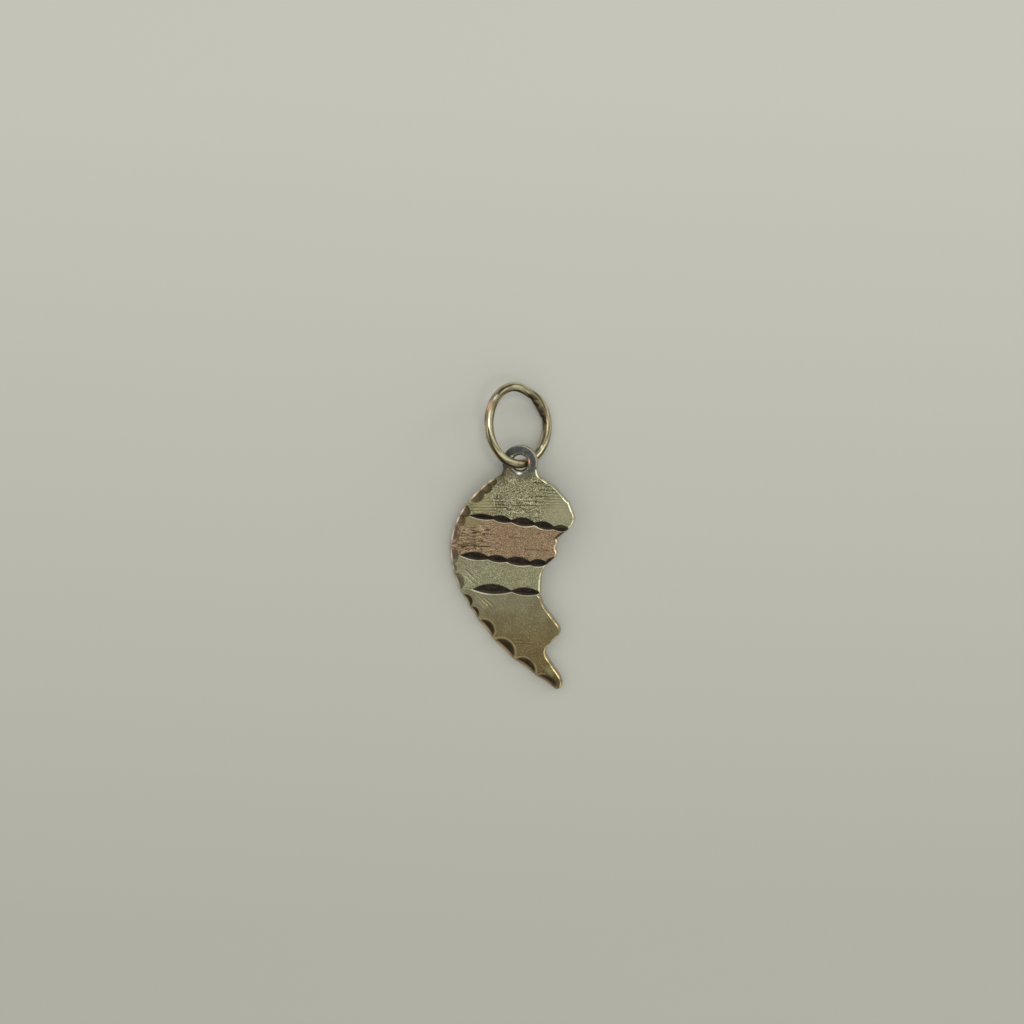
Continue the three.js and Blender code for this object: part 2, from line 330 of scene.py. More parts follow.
def boats_along(seam, widths, overlaps):
    """The two ends and the half width of each cut in a row."""
    row = []
    for i, half_width in enumerate(widths):
        start, end = np.array(seam[i + 1]), np.array(seam[i + 2])
        along = (end - start) / np.hypot(*(end - start))
        start, end = start - overlaps[i] * along, end + overlaps[i + 1] * along
        row.append((tuple(start), tuple(end), half_width))
    return row


boat_rows = [boats_along(*row) for row in cut_rows]
boats = [boat for row in boat_rows for boat in row]


def cut_wheel(between):
    """Half the length of a cut, and the radius of the wheel that makes it."""
    half_length = between / 2 + cut_overrun
    return half_length, (half_length**2 + cut_sink**2) / (2 * cut_sink)


def boat_floor(u, v, boat):
    """How high the metal is left in a cut that a leaning V-shaped wheel makes."""
    (u1, v1), (u2, v2), half_width = boat
    between = math.hypot(u2 - u1, v2 - v1)
    half_length, wheel = cut_wheel(between)
    along_u, along_v = (u2 - u1) / between, (v2 - v1) / between
    mid_u, mid_v = (u1 + u2) / 2, (v1 + v2) / 2 + cut_raise
    x = (u - mid_u) * along_u + (v - mid_v) * along_v
    y = (v - mid_v) * along_u - (u - mid_u) * along_v
    floor = np.full(u.shape, no_cut)
    near = (np.abs(x) < 1.3 * half_length) & (np.abs(y) < 1.2)
    x, y = x[near], y[near]
    # Found in rounds, because how far the wheel reaches depends on the height itself
    z = np.full(x.shape, -0.2)
    for _ in range(14):
        across = y * math.cos(cut_lean) - z * math.sin(cut_lean)
        narrowing = np.abs(across) * cut_depth / (half_width + cut_widening)
        reach = np.maximum(wheel - narrowing, 0.01)
        open_part = reach**2 - x**2
        low = wheel - cut_sink - np.sqrt(np.maximum(open_part, 0))
        z = (low - y * math.sin(cut_lean)) / math.cos(cut_lean)
    z[open_part <= 0] = no_cut
    floor[near] = z
    return panel_top + floor


# The scoops along the curved edge: a point near each, half its length, its reach inwards
scoops = [
    ((-2.42, -1.72), 0.46, 0.6), ((-3.05, -2.2), 0.56, 0.82), ((-3.85, -2.95), 0.72, 0.86),
    ((-5.05, -4.35), 0.54, 0.8), ((-5.42, -5.12), 0.46, 0.8), ((-5.95, -6.5), 0.96, 0.74),
    ((-6.1, -8.25), 0.86, 0.76), ((-6, -9.45), 0.46, 0.42), ((-5.6, -10.55), 0.84, 0.74),
    ((-4.8, -12.3), 0.64, 0.62), ((-4.2, -13.4), 0.56, 0.54), ((-3.1, -14.9), 1, 0.84),
    ((-1.4, -16.6), 1.24, 0.98), ((0.5, -17.95), 1.16, 0.84), ((2.25, -19.6), 1.06, 0.68),
]
scoop_depth = panel_thickness + 0.12
scoop_balls = []
for near_point, half_length, reach in scoops:
    gaps = np.hypot(*(curved_line - near_point).T)
    nearest = int(np.argmin(gaps))
    along = curved_line[nearest + 6] - curved_line[nearest - 6]
    outward = np.array([along[1], -along[0]]) / np.hypot(*along)
    circle = (half_length**2 + reach**2) / (2 * reach)
    depth = min(scoop_depth, 0.8 * half_length)
    rise = (half_length**2 - depth**2) / (2 * depth)
    middle = curved_line[nearest] + outward * (circle - reach)
    scoop_balls.append((middle[0], middle[1], rise, math.hypot(circle, rise)))


def scoop_floor(u, v):
    """How high the metal is left where a round cutter scooped the curved edge."""
    floor = np.full(u.shape, no_cut)
    for cu, cv, rise, ball in scoop_balls:
        room_left = ball**2 - (u - cu) ** 2 - (v - cv) ** 2
        bowl = np.where(room_left > 0, rise - np.sqrt(np.maximum(room_left, 0)), no_cut)
        floor = np.minimum(floor, bowl)
    return panel_top + floor


def unevenness(u, v, per_mm, seed):
    """Soft random hills from -1 to 1, as worn and hand-finished metal has."""
    hills = 128
    heights = np.random.RandomState(seed).uniform(-1, 1, (hills, hills))
    shift_u, shift_v = 40.3, 71.7
    x, y = u * per_mm + shift_u, v * per_mm + shift_v
    i, j = np.floor(x).astype(int), np.floor(y).astype(int)
    a, b = x - i, y - j
    a, b = a * a * (3 - 2 * a), b * b * (3 - 2 * b)
    low, high = [
        heights[i % hills, row] * (1 - a) + heights[(i + 1) % hills, row] * a
        for row in (j % hills, (j + 1) % hills)
    ]
    return low * (1 - b) + high * b


def step_up(x, start, end):
    """A soft step from 0 at the start to 1 at the end."""
    t = np.clip((x - start) / (end - start), 0, 1)
    return t * t * (3 - 2 * t)


def rounding(distance, radius):
    """How far a rounded edge drops at a distance from the outline."""
    left = np.clip(radius - distance, 0, radius)
    return radius - np.sqrt(np.maximum(radius**2 - left**2, 0))


def distances_to(line, u, v, least):
    """Distances to a line, for the points whose value in least is under 0.4 mm."""
    dense = even_line(line, 0.012)
    tree = KDTree(len(dense))
    for i, (x, y) in enumerate(dense):
        tree.insert((x, y, 0), i)
    tree.balance()
    found = np.full(u.shape, 1.0)
    for index in zip(*np.nonzero(least < 0.4)):
        found[index] = tree.find((u[index], v[index], 0))[2]
    return found


# The plate's own outline: the heart, and the eye where it stands out of the neck
heart_line = np.vstack([left_line, right_line[1:]])
outside_eye = np.hypot(*heart_line.T) > eye_radius
heart_part = heart_line[outside_eye]
start_angle = math.atan2(heart_part[-1][1], heart_part[-1][0])
end_angle = math.atan2(heart_part[0][1], heart_part[0][0]) + 2 * math.pi
arc_angles = np.linspace(start_angle, end_angle, 90)[1:-1]
eye_arc = np.stack([eye_radius * np.cos(arc_angles), eye_radius * np.sin(arc_angles)], axis=1)
plate_line = even_line(np.vstack([heart_part, eye_arc, heart_part[:1]]), 0.06)[:-1]
closed_plate_line = np.vstack([plate_line, plate_line[:1]])
hole_steps = 96
hole_angles = np.arange(hole_steps) * 2 * math.pi / hole_steps
hole_line = hole_radius * np.stack([np.cos(hole_angles), np.sin(hole_angles)], axis=1)
rim_radius = back_thickness / 2


def inside_plate(u, v):
    x, y = closed_plate_line.T
    crossings = np.zeros(u.shape, bool)
    for x1, y1, x2, y2 in zip(x[:-1], y[:-1], x[1:], y[1:]):
        if y1 != y2:
            side = ((y1 > v) != (y2 > v)) & (u < (x2 - x1) * (v - y1) / (y2 - y1) + x1)
            crossings ^= side
    return crossings


def scattered(spacing, wanted):
    """Points in a honeycomb pattern inside the plate, where they are wanted."""
    left, right, bottom, top = -6.5, 5, -20.5, 1.7
    row_spacing = spacing * 0.866
    points = []
    for k, row in enumerate(np.arange(bottom, top, row_spacing)):
        x = np.arange(left, right, spacing) + (k % 2) * spacing / 2
        points.append(np.stack([x, np.full(x.shape, row)], axis=1))
    u, v = np.vstack(points).T
    keep = wanted(u, v)
    u, v = u[keep], v[keep]
    keep = inside_plate(u, v) & (np.hypot(u, v) > hole_radius + spacing / 2)
    u, v = u[keep], v[keep]
    free = distances_to(closed_plate_line, u, v, np.zeros(u.shape)) > min(spacing / 2, 0.1)
    return np.stack([u[free], v[free]], axis=1)


def all_boats(u, v):
    return np.minimum.reduce([boat_floor(u, v, boat) for boat in boats])


def in_fine_part(u, v):
    return all_boats(u, v) < back_thickness + 0.03


def in_middle_part(u, v):
    bowls = scoop_floor(u, v) < back_thickness + 0.08
    return (bowls | (np.hypot(u, v) < 2.4)) & ~in_fine_part(u, v)


def in_plain_part(u, v):
    return ~in_fine_part(u, v) & ~in_middle_part(u, v)


def inset(distance):
    """The plate's outline, moved inwards."""
    along = np.roll(plate_line, -1, axis=0) - np.roll(plate_line, 1, axis=0)
    along /= np.hypot(*along.T)[:, None]
    return plate_line + distance * np.stack([-along[:, 1], along[:, 0]], axis=1)


rim_rings = np.vstack([
    (hole_radius + rim_radius * (1 - math.cos(turn))) * hole_line / hole_radius
    for turn in np.linspace(0, math.pi / 2, 9)[1:]
])


def triangulated(points):
    """The plate's outline, its hole and the points, joined up into triangles."""
    count, holes = len(plate_line), len(hole_line)
    rings = [(i, (i + 1) % count) for i in range(count)]
    rings += [(count + i, count + (i + 1) % holes) for i in range(holes)]
    everything = np.vstack([plate_line, hole_line, points])
    made = delaunay_2d_cdt([Vector(p) for p in everything], rings, [], 1, 1e-7)
    flat = np.array([tuple(p) for p in made[0]])
    faces = np.array(made[2])
    middles = flat[faces].mean(axis=1)
    inner = inside_plate(*middles.T) & (np.hypot(*middles.T) > hole_radius)
    faces = faces[inner].tolist()
    first = {}
    for new, old in enumerate(made[3]):
        for index in old:
            first[index] = new
    return flat, faces, first


plain_spacing = 0.4
edge_rows = [rim_rings, *(inset(step) for step in (0.02, 0.05, 0.085))]
upper_points = np.vstack([
    *edge_rows, scattered(0.034, in_fine_part), scattered(0.07, in_middle_part),
    scattered(plain_spacing, in_plain_part),
])
lower_points = np.vstack([
    *edge_rows, scattered(plain_spacing, lambda u, v: np.hypot(u, v) > 1.2),
])


def edge_drop(u, v, edge):
    """How far the plate's rounded edge and the round rim of its hole drop."""
    ring = np.clip(rim_radius + 1e-6 - (np.hypot(u, v) - hole_radius), 0, rim_radius)
    around_hole = rim_radius - np.sqrt(np.maximum(rim_radius**2 - ring**2, 0))
    return rounding(edge, back_rounding) + around_hole


def set_values(verts, layers, values):
    """The values that a finish reads: one number of each name for every point."""
    for name, layer in layers.items():
        for vert, number in zip(verts, values[name].ravel()):
            vert[layer] = number


plate_bm = bmesh.new()
plate_values = ("hollow", "cut", "edge", "lip", "copper", "rub_and_highlight")
plate_layers = {name: plate_bm.verts.layers.float.new(name) for name in plate_values}


def ledge_at(v):
    """How wide the rim is left outside the scoops, wider towards the point."""
    return 0.2 + 0.1 * step_up(-v, 12.0, 15.0)


loops_of_side = []
for side, points in (("upper", upper_points), ("lower", lower_points)):
    flat, faces, first = triangulated(points)
    u, v = flat.T
    edge = distances_to(closed_plate_line, u, v, np.zeros(u.shape))
    height = edge_drop(u, v, edge)
    from_hole = np.hypot(u, v) - hole_radius
    ledge = ledge_at(v)
    hollow = cut_bottom = np.zeros(u.shape)
    if side == "upper":
        height = back_thickness - height
        height += 0.006 * unevenness(u, v, 2.2, 5) * step_up(np.minimum(edge, from_hole), 0, 0.2)
        cut_low = all_boats(u, v)
        cut_bottom = step_up(back_thickness + 0.02 - cut_low, -0.02, 0.03)
        cut = np.minimum(cut_low, scoop_floor(u, v))
        hollow = step_up(back_thickness - cut, -0.05, 0.0) * step_up(edge / ledge, 0.5, 1.0)
        height = np.minimum(height, cut)
    lip = 1 - step_up(from_hole, 0.16, 0.3)
    towards = np.degrees(np.arctan2(v, u))
    # Painted shade of the ring: the pale edge is dimmed left of the neck
    beyond_ring_shade = 1 - np.interp(u, [-1.5, 0.6], [0.5, 0]) * step_up(v, -0.8, -0.1)
    values = {
        "hollow": hollow,
        "cut": cut_bottom,
        "edge": (1 - np.clip(edge / (1.9 * ledge), 0, 1)) * beyond_ring_shade,
        "lip": lip * (0.75 + 0.25 * unevenness(u, v, 3.0, 41)),
        "copper": lip * np.exp(-(((towards - 8) / 17) ** 2)) * step_up(from_hole, 0.02, 0.1),
        # Two polished spots by the hole where the ring rubs, painted near-white as highlights
        "rub_and_highlight": np.maximum(
            np.exp(-(((u + 0.07) / 0.19) ** 2) - ((v + 0.94) / 0.11) ** 2),
            0.8 * np.exp(-(((u + 0.7) / 0.13) ** 2) - ((v - 0.54) / 0.1) ** 2)),
    }
    verts = [plate_bm.verts.new(place) for place in zip(u, v, height)]
    set_values(verts, plate_layers, values)
    for face in faces:
        corners = [verts[i] for i in face]
        plate_bm.faces.new(corners if side == "upper" else corners[::-1])
    loops_of_side.append([verts[first[i]] for i in range(len(plate_line))])
upper_loop, lower_loop = loops_of_side
for i in range(len(plate_line)):
    k = (i + 1) % len(plate_line)
    plate_bm.faces.new((upper_loop[i], lower_loop[i], lower_loop[k], upper_loop[k]))
bmesh.ops.remove_doubles(plate_bm, verts=plate_bm.verts, dist=1e-4)
bmesh.ops.recalc_face_normals(plate_bm, faces=plate_bm.faces)


def finished_mesh(bm, name, sharp_angle):
    """A mesh in its place on the table, with a map of its places in the plate."""
    mesh = bpy.data.meshes.new(name)
    bm.to_mesh(mesh)
    bm.free()
    flat = np.zeros(len(mesh.vertices) * 3, np.float32)
    mesh.vertices.foreach_get("co", flat)
    flat = flat.reshape(-1, 3)
    layer = mesh.uv_layers.new(name="plate")
    corners = np.zeros(len(mesh.loops), int)
    mesh.loops.foreach_get("vertex_index", corners)
    layer.data.foreach_set("uv", flat[corners, :2].ravel())
    mesh.vertices.foreach_set("co", laid_down(flat).astype(np.float32).ravel())
    mesh.shade_smooth()
    mesh.set_sharp_from_angle(angle=math.radians(sharp_angle))
    mesh.update()
    return placed(name, mesh)


back_plate = finished_mesh(plate_bm, "back_plate_metal", sharp_angle=42)

grey = Finish("grey_base_metal")
wide = grey.noise(grey.in_mm(), 0.9, 4)
fine = grey.noise(grey.in_mm(), 9, 4, 0.65)
dull = grey.ramp(fine, (0.3, 42, 45, 50), (0.5, 70, 73, 76), (0.74, 124, 126, 124))
dull = grey.over(dull, (66, 62, 54), wide, 0.4, 0.7, 0.5)
dull = grey.over(dull, (100, 97, 80), grey.across_plate(1), -0.4, -1.1, 0.8)
# A dark patch left of the neck: painted shade of the ring, over dark tarnish
from_shade_and_tarnish = grey.distance(grey.on_plate(), (-1.15, -0.7, 0))
dull = grey.over(dull, (76, 64, 46), from_shade_and_tarnish, 0.85, 0.25, 0.8)
lip_tone = grey.mixed(grey.ranged(fine, 0.4, 0.62), (86, 80, 60), (172, 168, 140))
from_middle = grey.ranged(grey.distance(grey.on_plate(), (0, 0, 0)), 0.75, 0.86)
copper_tone = grey.mixed(from_middle, (206, 116, 74), (255, 208, 186))
# The near-white on the polished spots is a painted highlight
for mark, tone in (("lip", lip_tone), ("rub_and_highlight", (250, 250, 244)), ("copper", copper_tone)):
    dull = grey.mixed(mark, dull, tone)


def up_the_heart(finish):
    """From 0 at the point to 1 at the eye."""
    return finish.evenly(finish.across_plate(1), -20.0, 0.0)


def ledge_tones(finish):
    """The rim outside the scoops: coppery at the point, pink at the side, grey at the eye."""
    # Its pale tones are partly a painted reflection of the pale table
    return finish.ramp(
        up_the_heart(finish), (0.0, 134, 114, 76), (0.33, 166, 142, 104), (0.46, 172, 164, 134),
        (0.56, 196, 186, 166), (0.66, 218, 190, 172), (0.76, 206, 186, 164),
        (0.93, 190, 170, 140), (1.0, 158, 158, 146))


broken_side = grey.math(
    "MULTIPLY", grey.ranged(grey.across_plate(0), -0.6, 0.4, 0, 0.7),
    grey.ranged(grey.across_plate(1), -17.5, -15.0))
edge_tone = grey.mixed(broken_side, ledge_tones(grey), (136, 128, 98))
near_edge = grey.ranged("edge", 0.45, 0.8)
hollow_tone = grey.ramp(
    up_the_heart(grey), (0.0, 40, 36, 24), (0.3, 56, 43, 29), (0.42, 84, 72, 50),
    (0.5, 108, 100, 78), (0.62, 118, 94, 80), (0.76, 102, 90, 65), (1.0, 102, 88, 62))
hollow_tone = grey.over(hollow_tone, (40, 34, 26), wide, 0.35, 0.65, 0.3)
worn = grey.mixed(near_edge, dull, edge_tone)
worn = grey.mixed("cut", grey.mixed("hollow", worn, hollow_tone), (48, 40, 33))
rough = grey.blended(near_edge, grey.ranged(fine, 0.3, 0.7, 0.5, 0.38), 0.4)
rough = grey.blended("rub_and_highlight", grey.blended("hollow", rough, 0.6), 0.18)
metal = grey.blended(grey.math("MAXIMUM", near_edge, "copper"), 0.95, 0.4)
metal = grey.blended("hollow", metal, 0.5)
relief = grey.bump(grey.noise(grey.in_mm(), 5, 3), 0.4, 0.03)
relief = grey.bump(fine, 0.3, 0.02, relief)
grey.surface(
    Base_Color=worn, Roughness=rough, Normal=relief, Metallic=metal, Specular_IOR_Level=0.25)
back_plate.data.materials.append(grey.material)
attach(back_plate, "half_heart")
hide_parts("back_plate")

# The four panels
# Thin sheets of green, rose and yellow gold, brazed to the back plate side by side. Their
# faces are engraved matt, a wheel cut the seams, and a round cutter scooped the curved edge.

panel_rounding = 0.15
panel_inset = 0.03
taper_start = hole_radius + rim_radius + 0.12
taper_length = 0.8
row_length, column_spacing = 9.0, 0.029
stroke_width, stroke_depth, glint_width = 0.036, 0.022, 0.052


def seam_height(seam, row):
    """The seam as a line across the plate, which follows the bottoms of its cuts."""
    xs, ys = np.array(seam, float).T

    def height(x):
        deepest = np.zeros(np.shape(x))
        for (u1, v1), (u2, v2), half_width in row:
            half_length, wheel = cut_wheel(math.hypot(u2 - u1, v2 - v1))
            s = (x - (u1 + u2) / 2) / ((u2 - u1) / 2 + cut_overrun) * half_length
            low = np.sqrt(np.maximum(wheel**2 - s**2, 0)) - (wheel - cut_sink)
            deepest = np.maximum(deepest, np.where(np.abs(s) < half_length, low, 0))
        return np.interp(x, xs, ys) + cut_raise - deepest * math.sin(cut_lean)

    return height


def soft_lower(a, b, softness):
    """The lower of two surfaces, with a worn edge where they meet."""
    share = np.clip(0.5 + (b - a) / (2 * softness), 0, 1)
    return b * (1 - share) + a * share - softness * share * (1 - share)


def stations(length, spacing, fine_start, fine_end, zone=0.5, fine=0.022):
    """Places from 0 to 1, closer together near the ends that need it."""
    steps = []
    at = 0.0
    while at < length:
        close = (fine_start and at < zone) or (fine_end and at > length - zone)
        step = fine if close else spacing
        steps.append(step)
        at += step
    line = np.concatenate([[0], np.cumsum(steps)])
    return line / line[-1]


def strokes_over(u, v, strokes, spread):
    """The depth of hand-engraved strokes, each from one point to another."""
    depth = np.zeros(u.shape)
    for u1, v1, u2, v2, strength in strokes:
        length = math.hypot(u2 - u1, v2 - v1)
        au, av = (u2 - u1) / length, (v2 - v1) / length
        s = (u - u1) * au + (v - v1) * av
        off = (v - v1) * au - (u - u1) * av
        off = off + 0.018 * unevenness(u, v, 1.7, 31)
        ends = step_up(s, -0.05, 0.25) * (1 - step_up(s, length - 0.25, length + 0.05))
        depth = np.maximum(depth, strength * ends * np.exp(-((off / spread) ** 2)))
    return depth


def build_panel(
        name, upper, lower, spacing, grain_rule, depth, strokes, glints,
        fine_top=True, fine_low=True, last_row=1.0, soft=0, rim_width=0.16):
    """A sheet between two lines across the heart, engraved, cut and scooped out."""
    middle = np.array([-1.0, 0, 1])
    tall = float(np.mean(upper(middle) - lower(middle)))
    t = np.minimum(stations(tall, spacing, fine_top, fine_low)[:, None], last_row)
    s = stations(row_length, column_spacing, True, True, zone=0.9, fine=0.024)[None, :]
    # Each row runs from one edge of the heart to the other, and its ends are found in steps
    sides = []
    for line, inward in ((left_line[::-1], 1), (right_line, -1)):
        slopes = np.gradient(line[:, 0], line[:, 1])
        shifts = np.minimum(panel_inset * np.sqrt(1 + slopes**2), 0.12) * inward
        x = np.full(t.shape, -4.0 if inward == 1 else 3.0)
        for _ in range(90):
            y = (1 - t) * upper(x) + t * lower(x)
            x = x + 0.6 * (np.interp(y, line[:, 1], line[:, 0] + shifts) - x)
        sides.append(x)
    u = sides[0] + s * (sides[1] - sides[0])
    v = (1 - t) * upper(u) + t * lower(u)

    edge = distances_to(closed_heart, u, v, np.minimum(u - sides[0], sides[1] - u)) - panel_inset
    edge = np.maximum(edge, 0)
    grain = grain_rule(u, v)
    stroke = strokes_over(u, v, strokes, stroke_width)
    glint = strokes_over(u, v, glints, glint_width)
    swell = 0.012 * unevenness(u, v, 0.45, 11) + 0.006 * unevenness(u, v, 1.3, 12)
    inner = step_up(edge, 0.02, 0.25)
    knots = step_up(unevenness(u, v, 1.6, 33), -0.3, 0.6)
    top = panel_top - rounding(edge, panel_rounding) + inner * (swell - 0.012)
    top += inner * (depth * grain - stroke_depth * stroke)

    cut_low = all_boats(u, v)
    over = cut_low - panel_top
    # The lip below each cut: a small raised burr, coloured pale as a painted highlight
    lip = np.zeros(u.shape)
    for crease in seam_lines:
        below = crease(u) - v
        near = step_up(below, -0.02, 0.06) * (1 - step_up(below, 0.5, 0.75))
        lip = np.maximum(lip, near)
    lip *= step_up(over, -0.04, 0.0) * (1 - step_up(over, 0.12, 0.3))
    bowls = scoop_floor(u, v)
    chatter = 0.008 * unevenness(u, v, 4.0, 17)
    top += 0.02 * lip
    height = soft_lower(top, cut_low + 0.3 * chatter, 0.012)
    height = soft_lower(height, bowls + chatter, 0.05)
    eye_gap = np.hypot(u, v)
    taper = back_thickness + (eye_gap - taper_start) / taper_length * panel_thickness
    height = soft_lower(height, taper + 0.8 * depth * grain, 0.07)
    height = soft_lower(height, back_thickness + 0.32 * (neck_top - 0.05 - v), 0.05)

    # What the finish reads: where each kind of wear and each dark hollow is, and where painted
    # highlights and painted shade go
    cut_shade = step_up(top - cut_low, 0.0, 0.05)
    scoop_shade = step_up(top - bowls, -0.02 - 0.05 * soft, 0.16 + 0.12 * soft)
    scoop_shade *= 1 - 0.3 * soft * step_up(unevenness(u * 0.4, v, 9.0, 19), -0.2, 0.5)
    ledge = (edge + panel_inset) / ledge_at(v)
    on_left = u - sides[0] < sides[1] - u
    # The rim: the rounded right edge, coloured pale as a painted highlight over polished metal
    rim = (1 - step_up(edge, 0.3 * rim_width, rim_width)) * (1 - cut_shade) * ~on_left
    rim *= step_up(neck_top - v, 0.1, 0.5)
    # Painted shade under the notch on the right edge, laid into the dark of the cuts
    notch_shade = (1 - step_up(edge, 0.12, 0.26)) * step_up(v, -6.85, -6.6) * ~on_left
    notch_shade *= 1 - step_up(v, -6.2, -5.95)
    # Ridges between the scoops, coloured light as painted highlights
    ridge_highlight = np.exp(-(((top - bowls + 0.03) / 0.11) ** 2)) * (0.4 + 0.6 * step_up(-v, 10.5, 12.5))
    values = {
        "grain": np.clip(0.5 + 0.45 * grain - 0.6 * stroke + 0.6 * glint, 0, 1),
        "cut": np.maximum(cut_shade, 0.85 * notch_shade),
        "lit": cut_shade * np.maximum(t < 0.5, step_up(u, 3.05, 3.35) * (v > -6.6)),
        "scoop": scoop_shade * step_up(ledge, 0.5, 1.0),
        "core": step_up(top - bowls, 0.1, 0.3) * step_up(ledge, 0.7, 1.5),
        "ledge": 0.75 * (1 - step_up(ledge, 0.45, 0.9)) * on_left * step_up(-v, 0.9, 1.8),
        "rim": rim * (1 - notch_shade) * (0.4 + 0.6 * step_up(unevenness(u, v, 2.6, 34), -0.5, 0.4)),
        "lip": lip * (1 - scoop_shade) * (0.5 + 0.5 * knots),
        "ridge_highlight": ridge_highlight * on_left,
        "fade": np.maximum(1 - step_up(eye_gap, 1.05, 1.7), step_up(v, -1.2, -0.6)),
    }

    # The engraved face first, cut off where it sinks into the back plate, then closed below
    rows, columns = u.shape
    bm = bmesh.new()
    layers = {key: bm.verts.layers.float.new(key) for key in values}
    verts = [bm.verts.new(p) for p in zip(u.ravel(), v.ravel(), height.ravel())]
    set_values(verts, layers, values)
    above = height > back_thickness - 0.12
    for r in range(rows - 1):
        for c in range(columns - 1):
            if above[r : r + 2, c : c + 2].any():
                a = r * columns + c
                bm.faces.new((verts[a], verts[a + columns], verts[a + columns + 1], verts[a + 1]))
    floor = back_thickness
    everything = bm.verts[:] + bm.edges[:] + bm.faces[:]
    bmesh.ops.bisect_plane(
        bm, geom=everything, dist=1e-5, plane_co=(0, 0, floor), plane_no=(0, 0, 1),
        clear_inner=True)
    loose = [vert for vert in bm.verts if not vert.link_faces]
    bmesh.ops.delete(bm, geom=loose, context="VERTS")
    rims = [
        edge for edge in bm.edges
        if edge.is_boundary and max(vert.co.z for vert in edge.verts) > floor + 1e-4
    ]
    for part in bmesh.ops.extrude_edge_only(bm, edges=rims)["geom"]:
        if isinstance(part, bmesh.types.BMVert):
            part.co.z = floor
    low = [vert for vert in bm.verts if abs(vert.co.z - floor) < 1e-4]
    bmesh.ops.remove_doubles(bm, verts=low, dist=2e-4)
    open_edges = [edge for edge in bm.edges if edge.is_boundary]
    bmesh.ops.triangle_fill(bm, edges=open_edges, use_beauty=False, normal=(0, 0, -1))
    bmesh.ops.recalc_face_normals(bm, faces=bm.faces)
    if bm.calc_volume(signed=True) < 0:
        bmesh.ops.reverse_faces(bm, faces=bm.faces[:])
    return finished_mesh(bm, name, sharp_angle=48)


closed_heart = np.vstack([heart_line, heart_line[:1]])
seam_lines = [seam_height(row[0], boat_row) for row, boat_row in zip(cut_rows, boat_rows)]


def level(height):
    """A straight line across the plate, in the form that the seams have."""
    return lambda x: np.full(np.shape(x), float(height))


def pitted(u, v):
    """Coarse matt engraving: close pits, in short rows that run across."""
    pits = 0.6 * unevenness(u, v, 17.0, 3)
    rows_of_pits = unevenness(u * 0.4, v, 13.0, 8) * (0.3 + 0.7 * step_up(-v, 2.6, 3.6))
    smooth_corner = step_up(u - 0.9 * v, 5.6, 7.6)
    return (pits + 0.35 * rows_of_pits) * (1.1 - 0.5 * smooth_corner)


# Strokes cut by hand, and bright glints beside them, which are painted highlights: two ends,
# and the strength
upper_strokes = [
    (2.0, -2.0, 3.0, -2.1, 0.9), (1.6, -2.35, 3.2, -2.4, 0.7), (1.9, -2.65, 3.7, -2.72, 0.8),
    (1.3, -2.95, 4.0, -3.0, 0.9), (2.0, -3.2, 4.1, -3.25, 1.0), (1.2, -3.45, 3.8, -3.48, 1.0),
    (2.2, -3.7, 4.2, -3.73, 0.9), (-1.8, -3.75, 3.6, -3.78, 0.6), (1.8, -3.98, 4.1, -4.0, 0.7),
    (-2.08, -2.85, -2.06, -3.3, 1.3), (-1.95, -3.35, -1.93, -3.75, 1.3),
    (1.1, -1.72, 2.3, -1.74, 1.2), (-4.2, -3.2, -1.6, -3.15, 0.5),
    (-4.4, -3.5, -1.2, -3.45, 0.8), (-4.6, -3.75, -1.4, -3.68, 0.7),
    (-4.6, -4.0, -1.0, -3.96, 0.9), (-4.5, -4.25, -1.9, -4.22, 0.7),
    (-4.3, -4.5, -2.0, -4.46, 0.6),
]
upper_glints = [
    (-2.4, -2.8, -2.42, -3.2, 1.0), (-2.4, -3.15, -2.25, -3.5, 1.2),
    (-2.3, -3.45, -2.3, -3.95, 0.9), (-0.3, -3.2, 1.2, -3.25, 0.5), (0.2, -3.5, 1.4, -3.5, 0.5),
    (-1.2, -4.3, 0.3, -4.4, 0.5),
]


def rose_grain(u, v):
    """Finer engraving than above it, with deeper rows at the left."""
    left = 1 - step_up(u, -3.6, -1.4)
    speckle = 0.4 * unevenness(u, v, 17.0, 13)
    rows = np.minimum(unevenness(u * 0.25, v, 14.0, 16), 0.3)
    return speckle + (0.15 + 0.6 * left) * rows + 0.05 * left


rose_strokes = [
    (-4.45, -5.8, -3.85, -5.8, 1.6), (-4.5, -6.03, -3.95, -6.05, 1.6),
    (-4.45, -6.27, -3.85, -6.26, 2.2), (-3.42, -5.42, -3.2, -5.62, 1.6),
    (-3.35, -5.98, -2.6, -6.0, 0.9), (-3.5, -6.34, -2.5, -6.36, 0.9),
    (-5.3, -6.02, -4.9, -6.02, 1.2), (-5.3, -6.28, -4.9, -6.28, 1.0),
    (-5.4, -6.9, -5.2, -6.9, 1.4), (-4.1, -6.98, -3.0, -7.0, 0.9),
    (-5.5, -7.22, -3.4, -7.24, 0.5), (-5.5, -7.43, -2.6, -7.46, 1.2),
    (-5.0, -7.7, -3.9, -7.72, 0.5), (0.2, -7.7, 2.6, -7.76, 0.5), (-1.2, -6.6, 0.4, -6.65, 0.4),
]
rose_glints = [
    (-4.85, -5.92, -4.62, -5.92, 1.4), (-4.8, -6.28, -4.6, -6.22, 1.4),
    (-4.7, -6.75, -4.52, -6.75, 1.0), (-2.75, -6.15, -2.7, -6.4, 0.9),
    (-3.6, -5.5, -3.5, -5.75, 1.0), (-5.3, -6.7, -5.1, -6.7, 0.8),
]


def fine_grain(u, v):
    """Fine even matting."""
    return 0.4 * unevenness(u, v, 17.0, 21) + 0.15 * unevenness(u, v, 6.0, 22)


